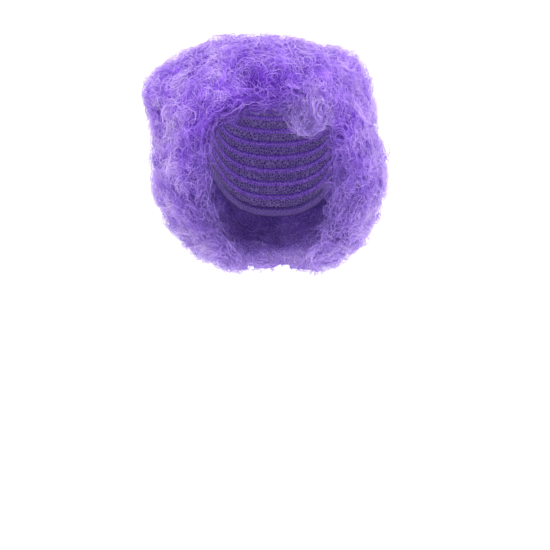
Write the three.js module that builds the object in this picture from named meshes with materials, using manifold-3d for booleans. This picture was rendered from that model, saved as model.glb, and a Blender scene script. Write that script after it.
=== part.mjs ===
// An afro wig: a stretch cap with a bound edge, a deep round mass of curled tufts sewn on it,
// and one lock that falls over the brow. Millimetres, +Z up, the face opening towards -Y.
// The origin is the middle of the cap's crown, on the inside, where the top of the head sits.
import * as THREE from "three";
import { mergeVertices } from "three/addons/utils/BufferGeometryUtils.js";
import Module from "manifold-3d";

const wasm = await Module();
wasm.setup();

// The head that the wig is made for. Its middle is the level of its greatest width, the crown's
// height and the jaw's depth are measured from there.
const HEAD_WIDTH = 152;
const HEAD_LENGTH = 192;
const CROWN_HEIGHT = 90;
const JAW_DEPTH = 105;
const HEAD_SQUARENESS = 2.4;
const NECK_WIDTH = 84;
const NECK_SETBACK = 10;

// The cap, its bound edge, and the gap that is left between pieces.
const CAP_WALL = 1.8;
const BAND_WIDTH = 9;
const BAND_WALL = 2.6;
const GAP = 0.4;

// How far the hair reaches: over and under the crown, and out from the head's middle.
const HAIR_OVER_CROWN = 41;
const HAIR_UNDER_CROWN = 214;
const HAIR_LEFT = 133;
const HAIR_RIGHT = 120;
const HAIR_FRONT = 128;
const HAIR_BACK = 142;

// The hair under the middle leans back towards the nape: by how much for each unit of drop.
const NAPE_LEAN = 0.22;

// The tufts that the hair falls into, and those that edge the face opening. The shares say how
// much they vary, how far they stray from an even spread and how closely they are packed.
const TUFT_WIDTH = 34;
const TUFT_RISE = 17;
const EDGE_TUFT_RISE = 9;
const TUFT_RADIUS_SHARE = { least: 0.62, most: 0.9 };
const TUFT_HEIGHT_SHARE = { least: 0.55, most: 1 };
const TUFT_STRAY = 1.2;
const TUFT_PACKING = 1.25;

// The face opening: the fringe's lower edge under the crown, and the side edges at eye level.
const HAIRLINE_DROP = 37;
const OPENING_LEFT = 68;
const OPENING_RIGHT = 58;

// The lock over the brow, from its root in the fringe to its tip. It stands to one side of the
// middle, and its root lies over the hairline and in front of the forehead.
const FORELOCK_LENGTH = 46;
const FORELOCK_WIDTH = 38;
const FORELOCK_THICKNESS = 28;
const FORELOCK_ASIDE = 32;
const FORELOCK_ROOT_RISE = 21;
const FORELOCK_ROOT_FORWARD = 2;
const FORELOCK_CURL = 0.08;

// Fineness of the faceted surfaces.
const COLUMNS = 64;
const CAP_ROWS = 8;
const LOWER_ROWS = 8;
const BALL_DETAIL = 18;
const OPENING_COLUMNS = 64;
const FORELOCK_COLUMNS = 14;

// The hair's outline as a share of a plain ellipsoid, by tilt in degrees above the middle.
const OUTLINE = [
  { tilt: -90, left: 1.05, right: 1.05, front: 1.0, back: 1.0 },
  { tilt: -67, left: 1.06, right: 1.06, front: 0.96, back: 0.98 },
  { tilt: -45, left: 1.06, right: 1.09, front: 0.91, back: 0.97 },
  { tilt: -30, left: 1.045, right: 1.05, front: 0.88, back: 0.98 },
  { tilt: -15, left: 1.045, right: 1.03, front: 0.87, back: 1.0 },
  { tilt: 0, left: 0.995, right: 0.995, front: 0.89, back: 1.03 },
  { tilt: 15, left: 1.03, right: 0.965, front: 0.96, back: 1.05 },
  { tilt: 30, left: 1.19, right: 1.01, front: 1.04, back: 1.08 },
  { tilt: 45, left: 1.165, right: 1.09, front: 1.07, back: 1.08 },
  { tilt: 60, left: 1.115, right: 1.05, front: 1.06, back: 1.05 },
  { tilt: 75, left: 1.05, right: 1.01, front: 1.02, back: 1.02 },
  { tilt: 90, left: 1.0, right: 1.0, front: 1.0, back: 1.0 },
];

// The cap's lower edge, by turn in degrees from the front to either side: forehead, temple,
// the tab before the ear, the arch over it and the nape.
const CAP_EDGE = [
  { turn: 0, tilt: 35 },
  { turn: 25, tilt: 34 },
  { turn: 40, tilt: 30 },
  { turn: 50, tilt: 18 },
  { turn: 58, tilt: 0 },
  { turn: 66, tilt: -12 },
  { turn: 74, tilt: -13 },
  { turn: 83, tilt: -5 },
  { turn: 94, tilt: 4 },
  { turn: 108, tilt: 3 },
  { turn: 124, tilt: -9 },
  { turn: 142, tilt: -25 },
  { turn: 162, tilt: -34 },
  { turn: 180, tilt: -36 },
];

// The face opening seen from the front, from the hairline down to the open neck: drop is a share
// of the way from the hairline to the hair's lower end, and the widths are shares of the edges.
const OPENING = [
  { drop: 0.0, left: 0.0, right: 0.0 },
  { drop: 0.004, left: 0.4, right: 0.4 },
  { drop: 0.03, left: 0.66, right: 0.7 },
  { drop: 0.06, left: 0.86, right: 0.85 },
  { drop: 0.11, left: 0.97, right: 0.94 },
  { drop: 0.22, left: 1.0, right: 0.96 },
  { drop: 0.36, left: 0.99, right: 0.98 },
  { drop: 0.49, left: 0.99, right: 0.95 },
  { drop: 0.6, left: 0.91, right: 0.85 },
  { drop: 0.72, left: 0.79, right: 0.735 },
  { drop: 0.84, left: 0.63, right: 0.615 },
  { drop: 1.0, left: 0.6, right: 0.6 },
  { drop: 1.25, left: 0.6, right: 0.6 },
];

// How the opening flares on its way out, so that the hair rolls over at its edge: depth is a
// share of the way out to the hair's face, spread multiplies the opening's outline, and swell
// says how much of the edge tufts' rise the hair has there.
const FLARE = [
  { depth: 0.42, spread: 0.95, swell: 0 },
  { depth: 0.7, spread: 0.995, swell: 0.5 },
  { depth: 0.82, spread: 1.015, swell: 1 },
  { depth: 0.91, spread: 1.06, swell: 1 },
  { depth: 0.97, spread: 1.13, swell: 0.8 },
  { depth: 1.03, spread: 1.24, swell: 0.4 },
  { depth: 1.12, spread: 1.45, swell: 0 },
];
const FLARE_END = 2;

// The lock over the brow: sections from root to tip, as shares of its length and girths.
const FORELOCK = [
  { along: 0.06, wide: 0.5, thick: 0.3 },
  { along: 0.2, wide: 0.8, thick: 0.5 },
  { along: 0.38, wide: 0.96, thick: 0.85 },
  { along: 0.56, wide: 1.0, thick: 1.0 },
  { along: 0.74, wide: 0.92, thick: 0.94 },
  { along: 0.88, wide: 0.72, thick: 0.72 },
  { along: 0.97, wide: 0.4, thick: 0.4 },
];

const MIDDLE = new THREE.Vector3(0, 0, -CROWN_HEIGHT);
const CLEAR_UNDER_HAIR = HAIR_UNDER_CROWN * 1.3;
const CLEAR_IN_FRONT = HAIR_FRONT * 1.6;
const radians = THREE.MathUtils.degToRad;
const degrees = THREE.MathUtils.radToDeg;

// A smooth curve through one table's rows: it gives the columns at any value of the key.
function curveThrough(rows, key, columns) {
  const values = rows.flatMap((row) => columns.map((column) => row[column]));
  const curve = new THREE.CubicInterpolant(
    rows.map((row) => row[key]),
    values,
    columns.length,
  );
  const first = rows[0][key];
  const last = rows[rows.length - 1][key];
  return (at) => {
    const found = curve.evaluate(THREE.MathUtils.clamp(at, first, last));
    return Object.fromEntries(columns.map((column, i) => [column, found[i]]));
  };
}

const outlineAt = curveThrough(OUTLINE, "tilt", ["left", "right", "front", "back"]);
const capEdgeAt = curveThrough(CAP_EDGE, "turn", ["tilt"]);

// The direction at a turn about the vertical from the front, and a tilt above the middle.
function direction(turn, tilt) {
  const level = Math.cos(radians(tilt));
  return new THREE.Vector3(
    level * Math.sin(radians(turn)),
    -level * Math.cos(radians(turn)),
    Math.sin(radians(tilt)),
  );
}

// A steady number from 0 to 1 that looks random, for the item and use given.
function scatter(item, use) {
  const wave = Math.sin(item * 12.9898 + use * 78.233) * 43758.5453;
  return wave - Math.floor(wave);
}

const between = ({ least, most }, share) => least + (most - least) * share;

// How far the head's surface, grown by a wall, lies from its middle in a direction.
function headReach(d, wall) {
  const below = d.z < 0;
  const rise = (below ? JAW_DEPTH : CROWN_HEIGHT) + wall;
  const skull =
    (Math.abs(d.x) / (HEAD_WIDTH / 2 + wall)) ** HEAD_SQUARENESS +
    (Math.abs(d.y) / (HEAD_LENGTH / 2 + wall)) ** HEAD_SQUARENESS +
    (Math.abs(d.z) / rise) ** HEAD_SQUARENESS;
  const skullReach = skull ** (-1 / HEAD_SQUARENESS);
  return below ? Math.max(skullReach, neckReach(d, wall)) : skullReach;
}

// The same for the neck, a round column set back from the middle and cut off under the hair.
function neckReach(d, wall) {
  const radius = NECK_WIDTH / 2 + wall;
  const level = Math.hypot(d.x, d.y);
  const bottom = (CLEAR_UNDER_HAIR - CROWN_HEIGHT) / -d.z;
  if (level < 1e-6) return bottom;
  const across = (NECK_SETBACK * d.x) / level;
  const towards = (NECK_SETBACK * d.y) / level;
  const side = (towards + Math.sqrt(radius ** 2 - across ** 2)) / level;
  return Math.min(side, bottom);
}

// The tufts' middles, spread over the ball of hair on a golden spiral and nudged off it.
function placeTufts() {
  const reach = (HAIR_LEFT + HAIR_RIGHT + HAIR_FRONT + HAIR_BACK) / 4;
  const count = Math.round((TUFT_PACKING * 4 * Math.PI * reach ** 2) / TUFT_WIDTH ** 2);
  const stray = TUFT_STRAY / Math.sqrt(count);
  const golden = Math.PI * (3 - Math.sqrt(5));
  return Array.from({ length: count }, (_, i) => {
    const up = 1 - (2 * i + 1) / count + (stray / 2) * (scatter(i, 1) - 0.5);
    const level = Math.sqrt(Math.max(0, 1 - up * up));
    const turn = i * golden + stray * (scatter(i, 2) - 0.5);
    return {
      towards: new THREE.Vector3(level * Math.cos(turn), level * Math.sin(turn), up),
      radius: (TUFT_WIDTH / reach) * between(TUFT_RADIUS_SHARE, scatter(i, 3)),
      height: between(TUFT_HEIGHT_SHARE, scatter(i, 4)),
    };
  });
}

const tufts = placeTufts();

// The tufts' rise in a direction, from 0 in the dents to 1 on the tallest tuft: each is a dome,
// and the one that reaches furthest is what shows.
function tuftRise(d) {
  let rise = 0;
  for (const tuft of tufts) {
    const apart = tuft.towards.distanceTo(d) / tuft.radius;
    if (apart < 1) rise = Math.max(rise, tuft.height * Math.sqrt(1 - apart * apart));
  }
  return rise;
}

// How far the hair's outline lies from the middle in a direction, tufts left out.
function outlineReach(d) {
  const below = d.z < 0;
  const forward = d.y + (below ? NAPE_LEAN * d.z : 0);
  const rise = below ? HAIR_UNDER_CROWN - CROWN_HEIGHT : HAIR_OVER_CROWN + CROWN_HEIGHT;
  const x = d.x / (d.x < 0 ? HAIR_LEFT : HAIR_RIGHT);
  const y = forward / (forward < 0 ? HAIR_FRONT : HAIR_BACK);
  const z = d.z / rise;
  const size = Math.hypot(x, y, z);
  const level = x * x + y * y;
  const sideways = level > 0 ? (x * x) / level : 0.5;
  const share = outlineAt(degrees(Math.asin(THREE.MathUtils.clamp(z / size, -1, 1))));
  const side = d.x < 0 ? share.left : share.right;
  const fore = forward < 0 ? share.front : share.back;
  return (side * sideways + fore * (1 - sideways)) / size;
}

// The same with its tufts, which stand out from the outline and sink in between.
function hairReach(d) {
  return outlineReach(d) + TUFT_RISE * (tuftRise(d) - 0.75);
}

// How far in front of the middle the hair's face lies, at a place seen from the front. It is
// found by halving the stretch that it must lie in.
function hairFace(x, z) {
  let inside = 0;
  let outside = CLEAR_IN_FRONT;
  while (outside - inside > 0.01) {
    const half = (inside + outside) / 2;
    const p = new THREE.Vector3(x, -half, z).sub(MIDDLE);
    if (p.length() < outlineReach(p.clone().normalize())) inside = half;
    else outside = half;
  }
  return inside;
}

// A closed mesh from rings of as many points each, with a point that closes each end.
function loftRings(start, rings, end) {
  const around = rings[0].length;
  const points = [start, ...rings.flat(), end];
  const index = [];
  const at = (ring, i) => 1 + ring * around + (i % around);
  for (let i = 0; i < around; i++) {
    index.push(0, at(0, i), at(0, i + 1));
    for (let ring = 1; ring < rings.length; ring++) {
      index.push(at(ring - 1, i), at(ring, i), at(ring, i + 1));
      index.push(at(ring - 1, i), at(ring, i + 1), at(ring - 1, i + 1));
    }
    index.push(points.length - 1, at(rings.length - 1, i + 1), at(rings.length - 1, i));
  }
  const geometry = new THREE.BufferGeometry().setFromPoints(points);
  geometry.setIndex(index);
  return geometry;
}

// A closed band from rings that lead round its section and back to the first.
function loopRings(rings) {
  const around = rings[0].length;
  const index = [];
  const at = (ring, i) => (ring % rings.length) * around + (i % around);
  for (let i = 0; i < around; i++) {
    for (let ring = 0; ring < rings.length; ring++) {
      index.push(at(ring, i), at(ring + 1, i), at(ring + 1, i + 1));
      index.push(at(ring, i), at(ring + 1, i + 1), at(ring, i + 1));
    }
  }
  const geometry = new THREE.BufferGeometry().setFromPoints(rings.flat());
  geometry.setIndex(index);
  return geometry;
}

// A geometry as a solid that can be cut and joined, and a solid as a geometry.
function solidOf(geometry) {
  const merged = mergeVertices(geometry);
  return new wasm.Manifold(
    new wasm.Mesh({
      numProp: 3,
      vertProperties: merged.getAttribute("position").array,
      triVerts: new Uint32Array(merged.index.array),
    }),
  );
}

function geometryOf(solid) {
  const { vertProperties, triVerts } = solid.getMesh();
  const geometry = new THREE.BufferGeometry();
  geometry.setAttribute("position", new THREE.BufferAttribute(vertProperties, 3));
  geometry.setIndex(new THREE.BufferAttribute(triVerts, 1));
  return geometry;
}

// The largest of the separate bodies that a cut can leave.
function largestBody(solid) {
  const bodies = solid.decompose();
  return bodies.reduce((most, body) => (body.volume() > most.volume() ? body : most));
}

const turns = Array.from({ length: COLUMNS }, (_, i) => (360 * i) / COLUMNS);

// The tilt of the cap's lower edge at a turn, raised by a width measured square to the edge.
function edgeTilt(turn, raise) {
  const fromFront = turn > 180 ? 360 - turn : turn;
  const step = 1;
  const { tilt } = capEdgeAt(fromFront);
  const slope = (capEdgeAt(fromFront + step).tilt - capEdgeAt(fromFront - step).tilt) / (2 * step);
  const steepness = Math.min(Math.hypot(1, slope / Math.cos(radians(tilt))), 2);
  const reach = headReach(direction(turn, tilt), 0);
  return tilt + degrees(raise / reach) * steepness;
}

// One ring of points on the head, grown by a wall, at a tilt that may change with the turn.
function headRing(tiltAt, wall) {
  return turns.map((turn) => {
    const d = direction(turn, tiltAt(turn));
    return d.multiplyScalar(headReach(d, wall)).add(MIDDLE);
  });
}

// The rings from the crown down to an edge that is raised above the cap's lower edge.
function capRings(raise, wall) {
  return Array.from({ length: CAP_ROWS }, (_, row) => {
    const share = (row + 1) / CAP_ROWS;
    return headRing((turn) => 90 - (90 - edgeTilt(turn, raise)) * share, wall);
  });
}

const crown = (wall) => new THREE.Vector3(0, 0, wall);

function capGeometry() {
  const raise = BAND_WIDTH + GAP;
  const outside = capRings(raise, CAP_WALL);
  const inside = capRings(raise, 0).reverse();
  return loftRings(crown(CAP_WALL), [...outside, ...inside], crown(0));
}

// The bound edge runs on from the cap's wall, flush outside and proud of it inside.
function bandGeometry() {
  const upper = (turn) => edgeTilt(turn, BAND_WIDTH);
  const lower = (turn) => edgeTilt(turn, 0);
  const inner = CAP_WALL - BAND_WALL;
  return loopRings([
    headRing(upper, CAP_WALL),
    headRing(lower, CAP_WALL),
    headRing(lower, inner),
    headRing(upper, inner),
  ]);
}

// The room that the cap, the head and the neck take inside the hair.
function headSolid(wall) {
  const lowerRings = Array.from({ length: LOWER_ROWS }, (_, row) => {
    const share = (row + 1) / (LOWER_ROWS + 1);
    return headRing((turn) => edgeTilt(turn, 0) * (1 - share) - 90 * share, wall);
  });
  const bottom = new THREE.Vector3(0, 0, -CLEAR_UNDER_HAIR);
  const shoulder = capRings(BAND_WIDTH + GAP, wall);
  const rings = [...shoulder, headRing((turn) => edgeTilt(turn, 0), wall), ...lowerRings];
  return solidOf(loftRings(crown(wall), rings, bottom));
}

// The ball of hair, with its tufts, before the head and the face are taken out of it.
function ballSolid(grow) {
  const geometry = new THREE.IcosahedronGeometry(1, BALL_DETAIL);
  geometry.deleteAttribute("normal");
  geometry.deleteAttribute("uv");
  const ball = mergeVertices(geometry);
  const position = ball.getAttribute("position");
  const d = new THREE.Vector3();
  for (let i = 0; i < position.count; i++) {
    d.fromBufferAttribute(position, i).normalize();
    const p = d.clone().multiplyScalar(hairReach(d) + grow).add(MIDDLE);
    position.setXYZ(i, p.x, p.y, p.z);
  }
  return solidOf(ball);
}

// The face opening's outline, a closed loop of points about its middle, seen from the front.
function openingOutline() {
  const fall = HAIR_UNDER_CROWN - HAIRLINE_DROP;
  const side = (reach, column) =>
    OPENING.map((row) => new THREE.Vector2(reach * row[column], -HAIRLINE_DROP - fall * row.drop));
  const left = side(-OPENING_LEFT, "left").reverse();
  const right = side(OPENING_RIGHT, "right").slice(1);
  return new THREE.SplineCurve([...left, ...right]).getSpacedPoints(OPENING_COLUMNS - 1);
}

// The room in front of the face: it flares on its way out, and the edge tufts swell into it.
function openingSolid(grow) {
  const outline = openingOutline();
  const heart = new THREE.Vector2(0, -HAIRLINE_DROP - (HAIR_UNDER_CROWN - HAIRLINE_DROP) / 2);
  const ringAt = (spread, depthAt, swell) =>
    outline.map((edge) => {
      const out = edge.clone().sub(heart).multiplyScalar(spread);
      const at = new THREE.Vector3(heart.x + out.x, 0, heart.y + out.y);
      at.y = -depthAt(at);
      const rise = tuftRise(at.clone().sub(MIDDLE).normalize()) - 0.5;
      out.setLength(out.length() - grow - EDGE_TUFT_RISE * swell * rise);
      return new THREE.Vector3(heart.x + out.x, at.y, heart.y + out.y);
    });
  const flare = FLARE.map(({ depth, spread, swell }) =>
    ringAt(spread, (at) => hairFace(at.x, at.z) * depth, swell),
  );
  const inside = ringAt(FLARE[0].spread, () => 0, 0);
  const outside = ringAt(FLARE_END, () => CLEAR_IN_FRONT, 0);
  const middleOf = (ring) => new THREE.Vector3(heart.x, ring[0].y, heart.y);
  return solidOf(loftRings(middleOf(inside), [inside, ...flare, outside], middleOf(outside)));
}

// All the hair but the lock over the brow: a thick shell, open for the face and the neck.
function hairSolid(grow) {
  const room = headSolid(CAP_WALL + GAP - grow).add(openingSolid(grow));
  return largestBody(ballSolid(grow).subtract(room));
}

// The lock over the brow hangs from the fringe, and is cut to lie against it and the head.
function forelockSolid() {
  const up = -HAIRLINE_DROP + FORELOCK_ROOT_RISE;
  const forward = HEAD_LENGTH / 2 + FORELOCK_ROOT_FORWARD;
  const root = new THREE.Vector3(FORELOCK_ASIDE, -forward, up);
  const rings = FORELOCK.map(({ along, wide, thick }) =>
    Array.from({ length: FORELOCK_COLUMNS }, (_, i) => {
      const turn = (2 * Math.PI * i) / FORELOCK_COLUMNS;
      const curl = 1 + FORELOCK_CURL * Math.sin(3 * turn + 2 * Math.PI * along);
      return new THREE.Vector3(
        root.x + (FORELOCK_WIDTH / 2) * wide * curl * Math.cos(turn),
        root.y + (FORELOCK_THICKNESS / 2) * thick * curl * Math.sin(turn),
        root.z - FORELOCK_LENGTH * along,
      );
    }),
  );
  const tip = root.clone().setZ(root.z - FORELOCK_LENGTH);
  const lock = solidOf(loftRings(root, rings, tip));
  return largestBody(lock.subtract(hairSolid(GAP)).subtract(headSolid(CAP_WALL + GAP)));
}

const capNet = new THREE.MeshStandardMaterial({ color: 0x4f3878, roughness: 0.85, metalness: 0 });
const edgeTape = new THREE.MeshStandardMaterial({ color: 0x6b4fa3, roughness: 0.7, metalness: 0 });
const violetHair = new THREE.MeshStandardMaterial({ color: 0x966fdc, roughness: 0.6, metalness: 0 });

function piece(name, geometry, material) {
  geometry.computeVertexNormals();
  const mesh = new THREE.Mesh(geometry, material);
  mesh.name = name;
  return mesh;
}

const wig = new THREE.Group();
wig.add(
  piece("wig_cap", capGeometry(), capNet),
  piece("edge_band", bandGeometry(), edgeTape),
  piece("hair_mass", geometryOf(hairSolid(0)), violetHair),
  piece("forelock", geometryOf(forelockSolid()), violetHair),
);

export default wig;
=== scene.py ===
# %% [markdown]
# # An afro wig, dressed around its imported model
#
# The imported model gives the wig's construction: a stretch cap, its bound edge, a deep mass of
# hair sewn to the cap and a lock over the brow. This script gives each of them its finish. The
# hair is the main thing: a dense core of tufts with thousands of frizzy fibres on it.
#
# Everything is in metres, +Z is up, and the face opening looks towards -Y. The origin is the
# middle of the cap's crown.

import math

import bmesh
import bpy
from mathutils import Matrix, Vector
from mathutils.bvhtree import BVHTree


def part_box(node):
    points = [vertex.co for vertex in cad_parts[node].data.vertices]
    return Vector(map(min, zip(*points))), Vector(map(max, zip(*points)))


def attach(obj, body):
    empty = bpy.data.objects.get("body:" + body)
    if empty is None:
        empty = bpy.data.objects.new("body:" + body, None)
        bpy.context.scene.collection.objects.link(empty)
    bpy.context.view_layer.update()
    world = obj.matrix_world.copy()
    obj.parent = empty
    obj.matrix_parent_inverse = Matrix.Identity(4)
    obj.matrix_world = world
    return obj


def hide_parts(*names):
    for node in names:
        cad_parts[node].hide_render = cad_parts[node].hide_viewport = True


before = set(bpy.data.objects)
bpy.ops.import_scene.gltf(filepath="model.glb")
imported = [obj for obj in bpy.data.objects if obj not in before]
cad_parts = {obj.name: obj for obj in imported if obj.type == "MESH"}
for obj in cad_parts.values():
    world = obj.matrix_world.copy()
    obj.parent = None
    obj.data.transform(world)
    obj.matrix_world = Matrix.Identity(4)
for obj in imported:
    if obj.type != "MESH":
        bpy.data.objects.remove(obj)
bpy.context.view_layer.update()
scene = bpy.context.scene
scene.view_settings.view_transform = "Standard"
MM = 0.001
lock_low, lock_high = (Vector(corner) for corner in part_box("forelock"))
print("nodes:", sorted(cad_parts), "lock from", lock_low, "to", lock_high)

# %% [markdown]
# ## The camera
#
# The photo was taken from about a metre in front of the wig, a little below its crown, looking
# slightly down. A camera is matched by its place, the point it looks at, and how many
# millimetres one pixel covers at the wig's middle. The lens follows from those.

# %% Camera
PHOTO_PIXELS = 550
METRES_PER_PIXEL = 1.075 * MM
SENSOR = 36 * MM
CAP_MIDDLE = Vector((0, 0, -0.09))
camera_at = Vector((0, -1.05, -0.084))
looks_at = Vector((0, 0, -0.21))

camera_data = bpy.data.cameras.new("camera")
camera_data.sensor_width = SENSOR / MM
sight = looks_at - camera_at
camera_data.lens = camera_data.sensor_width * sight.length / (PHOTO_PIXELS * METRES_PER_PIXEL)
camera = bpy.data.objects.new("camera", camera_data)
camera.location = camera_at
camera.rotation_euler = sight.to_track_quat("-Z", "Y").to_euler()
scene.collection.objects.link(camera)
scene.camera = camera
print("lens", round(camera_data.lens, 1), "mm")

# %% [markdown]
# ## Floor and light
#
# A product photo of hair is lit softly from all round, or the fibres would throw hard shadows
# on each other. One bent sheet makes the floor and the backdrop, and large area lamps stand in
# for soft boxes: a key over the camera, a fill on the other side, and two behind the wig that
# make its outer fibres glow.

# %% Floor and light
FLOOR_UNDER_CROWN = 0.468
FLOOR_HALF_WIDTH = 3.5
FLOOR_FRONT = -2.6
BACKDROP_START = 0.7
BACKDROP_BEND = 2.4
BACKDROP_TOP = 4.4
PAPER_GLOW = 0.22
SKY_LIGHT = 0.75


def link(name, mesh):
    """A new object that shows a mesh."""
    piece = bpy.data.objects.new(name, mesh)
    scene.collection.objects.link(piece)
    return piece


def new_material(name):
    """A material, its node tree and its shader."""
    material = bpy.data.materials.new(name)
    material.use_nodes = True
    tree = material.node_tree
    return material, tree, tree.nodes["Principled BSDF"]


def make_stage():
    """A sheet of paper that runs level under the wig and bends up behind it."""
    steps = 24
    profile = [(FLOOR_FRONT, 0.0)]
    for i in range(steps + 1):
        turn = math.pi / 2 * i / steps
        y = BACKDROP_START + BACKDROP_BEND * math.sin(turn)
        profile.append((y, BACKDROP_BEND * (1 - math.cos(turn))))
    profile.append((BACKDROP_START + BACKDROP_BEND, BACKDROP_TOP))
    sheet = bmesh.new()
    sides = []
    for x in (-FLOOR_HALF_WIDTH, FLOOR_HALF_WIDTH):
        sides.append([sheet.verts.new((x, y, z - FLOOR_UNDER_CROWN)) for y, z in profile])
    for i in range(len(profile) - 1):
        sheet.faces.new((sides[0][i], sides[1][i], sides[1][i + 1], sides[0][i + 1]))
    mesh = bpy.data.meshes.new("backdrop")
    sheet.to_mesh(mesh)
    sheet.free()
    paper, _, shader = new_material("backdrop")
    shader.inputs["Base Color"].default_value = (0.9, 0.9, 0.905, 1)
    shader.inputs["Roughness"].default_value = 0.9
    shader.inputs["Emission Color"].default_value = (1, 1, 1, 1)
    shader.inputs["Emission Strength"].default_value = PAPER_GLOW
    mesh.materials.append(paper)
    for face in mesh.polygons:
        face.use_smooth = True
    return link("backdrop", mesh)


def area_lamp(name, place, watts, size):
    lamp = bpy.data.lights.new(name, "AREA")
    lamp.energy = watts
    lamp.size = size
    holder = bpy.data.objects.new(name, lamp)
    holder.location = place
    towards = CAP_MIDDLE - Vector(place)
    holder.rotation_euler = towards.to_track_quat("-Z", "Y").to_euler()
    scene.collection.objects.link(holder)


make_stage()
area_lamp("key", (-0.6, -1.3, 1.2), 19, 1.0)
area_lamp("fill", (1.3, -1.2, 0.4), 13, 1.2)
area_lamp("top", (0.1, -0.1, 1.3), 6, 0.9)
area_lamp("rim_left", (-1.0, 0.8, 0.6), 9, 0.8)
area_lamp("rim_right", (1.0, 0.8, 0.6), 9, 0.8)
world = bpy.data.worlds.new("studio")
world.use_nodes = True
sky = world.node_tree.nodes["Background"]
sky.inputs["Color"].default_value = (1, 1, 1, 1)
path = world.node_tree.nodes.new("ShaderNodeLightPath")
seen = world.node_tree.nodes.new("ShaderNodeMapRange")
seen.inputs["To Min"].default_value = SKY_LIGHT
seen.inputs["To Max"].default_value = 1.0
world.node_tree.links.new(path.outputs["Is Camera Ray"], seen.inputs["Value"])
world.node_tree.links.new(seen.outputs["Result"], sky.inputs["Strength"])
scene.world = world
print("stage and 5 lamps")

# %% [markdown]
# ## Node helpers
#
# Materials and Geometry Nodes are both graphs. Written out one link at a time they are long and
# hard to read, so a few small helpers add a node, feed its inputs and hand back an output.


# %% Node helpers
def feed(tree, socket, value):
    """Links a socket or sets a constant."""
    if isinstance(value, bpy.types.NodeSocket):
        tree.links.new(value, socket)
    else:
        socket.default_value = value


def add(tree, kind, inputs=None, **settings):
    """A new node with its settings made and its inputs fed, by name or by number."""
    node = tree.nodes.new(kind)
    for key, value in settings.items():
        setattr(node, key, value)
    for key, value in (inputs or {}).items():
        feed(tree, node.inputs[key], value)
    return node


def combine(tree, operation, a, b=0.0, c=0.0):
    """One step of arithmetic on numbers."""
    kind = "ShaderNodeMath"
    return add(tree, kind, {0: a, 1: b, 2: c}, operation=operation).outputs[0]


def vector(tree, operation, a, b=(0, 0, 0)):
    """One step of arithmetic on vectors."""
    node = add(tree, "ShaderNodeVectorMath", {0: a}, operation=operation)
    feed(tree, node.inputs["Scale" if operation == "SCALE" else 1], b)
    return node.outputs["Value" if operation in ("DOT_PRODUCT", "LENGTH") else "Vector"]


def parts(tree, place):
    """The X, Y and Z of a vector."""
    return add(tree, "ShaderNodeSeparateXYZ", {0: place}).outputs


def mapped(tree, value, low, high, to_low=0.0, to_high=1.0, **settings):
    """A number stretched from one range to another, and held inside it."""
    ranges = {"Value": value, "From Min": low, "From Max": high, "To Min": to_low, "To Max": to_high}
    return add(tree, "ShaderNodeMapRange", ranges, **settings).outputs["Result"]


def noise(tree, place, size, **settings):
    """A cloudy pattern with features of a size."""
    values = {"Vector": place, "Scale": 1 / size, "Detail": 0.0}
    values.update({key.replace("_", " "): value for key, value in settings.items()})
    return add(tree, "ShaderNodeTexNoise", values).outputs["Fac"]


def noise_vector(tree, place, scale):
    """The same for a direction, from -0.5 to 0.5 on each axis."""
    values = {"Vector": place, "Scale": scale, "Detail": 1}
    colour = add(tree, "ShaderNodeTexNoise", values).outputs["Color"]
    return vector(tree, "SUBTRACT", colour, (0.5, 0.5, 0.5))


def ramp(tree, value, stops):
    """A colour ramp through (place, colour) stops."""
    node = add(tree, "ShaderNodeValToRGB", {"Fac": value})
    elements = node.color_ramp.elements
    while len(elements) < len(stops):
        elements.new(0.5)
    for element, (place, colour) in zip(elements, stops):
        element.position = place
        element.color = (*colour, 1)
    return node.outputs["Color"]


# %% [markdown]
# ## The hair's violet
#
# The fibre is a violet synthetic. Seen close it runs from a deep blue violet in the dents to a pale
# lilac where fibre tips catch the light. A flat violet would look like plastic, so a tone is added
# up first, from broad patches, each fibre's own tint, the way along it and how far out it is, and
# one colour ramp turns the tone into violet. Much of that tone is painted light and shade: fibres
# lighter towards their tips and where they stand out from the core, tuft crests lighter and dents
# darker, deep painted shade and greyer colour near the face opening and the nape, and a painted pale
# glow at the outer rim.

# %% Hair materials
VIOLET_DEEP = (0.07, 0.015, 0.29)
VIOLET_DARK = (0.17, 0.045, 0.56)
VIOLET = (0.33, 0.145, 0.79)
VIOLET_LIGHT = (0.52, 0.32, 0.89)
VIOLET_PALE = (0.73, 0.58, 0.93)
PATCH_SIZE = 42 * MM
SHADED_DENT_SIZE = 17 * MM
ARC_SIZE = 15 * MM
OPENING_MIDDLE = Vector((-0.003, 0, -0.105))
FRONT_SQUEEZE = 0.25
BACK_SQUEEZE = 0.75
TOP_SQUEEZE = 0.5
TOP_START = 43 * MM
# Painted shade and light by depth: the hair is darkest near the face opening, where shade falls, and
# palest at the outer rim, as if lit from behind.
SHADE_DEPTH = 70 * MM
RIM_LIGHT_DEPTH = 108 * MM
LOCK_MIDDLE = (lock_low + lock_high) / 2
LOCK_INSIDE = 16 * MM
LOCK_REACH = 36 * MM
# The lock stands out in front of the face: the painted shade of the opening is lifted off it, and it
# is painted a little greyer, as hair in shade.
LOCK_LIFT = 0.18
LOCK_SHADE_GREY = 0.86
# Painted light: a lighter band round the sides at mid-height.
SIDE_HEIGHT = -95 * MM
SIDE_LIFT = 0.035
PATCH_SHARE = 0.4
SHADED_DENT_SHARE = 0.24
SHADE_LIFT = -0.28
RIM_LIGHT_LIFT = 0.15
# Painted shade: the hair is greyer near the face opening and towards the nape, where it lies in
# shade.
FACE_SHADE_GREY = 0.93
NAPE_SHADE_GREY = 0.82


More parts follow.
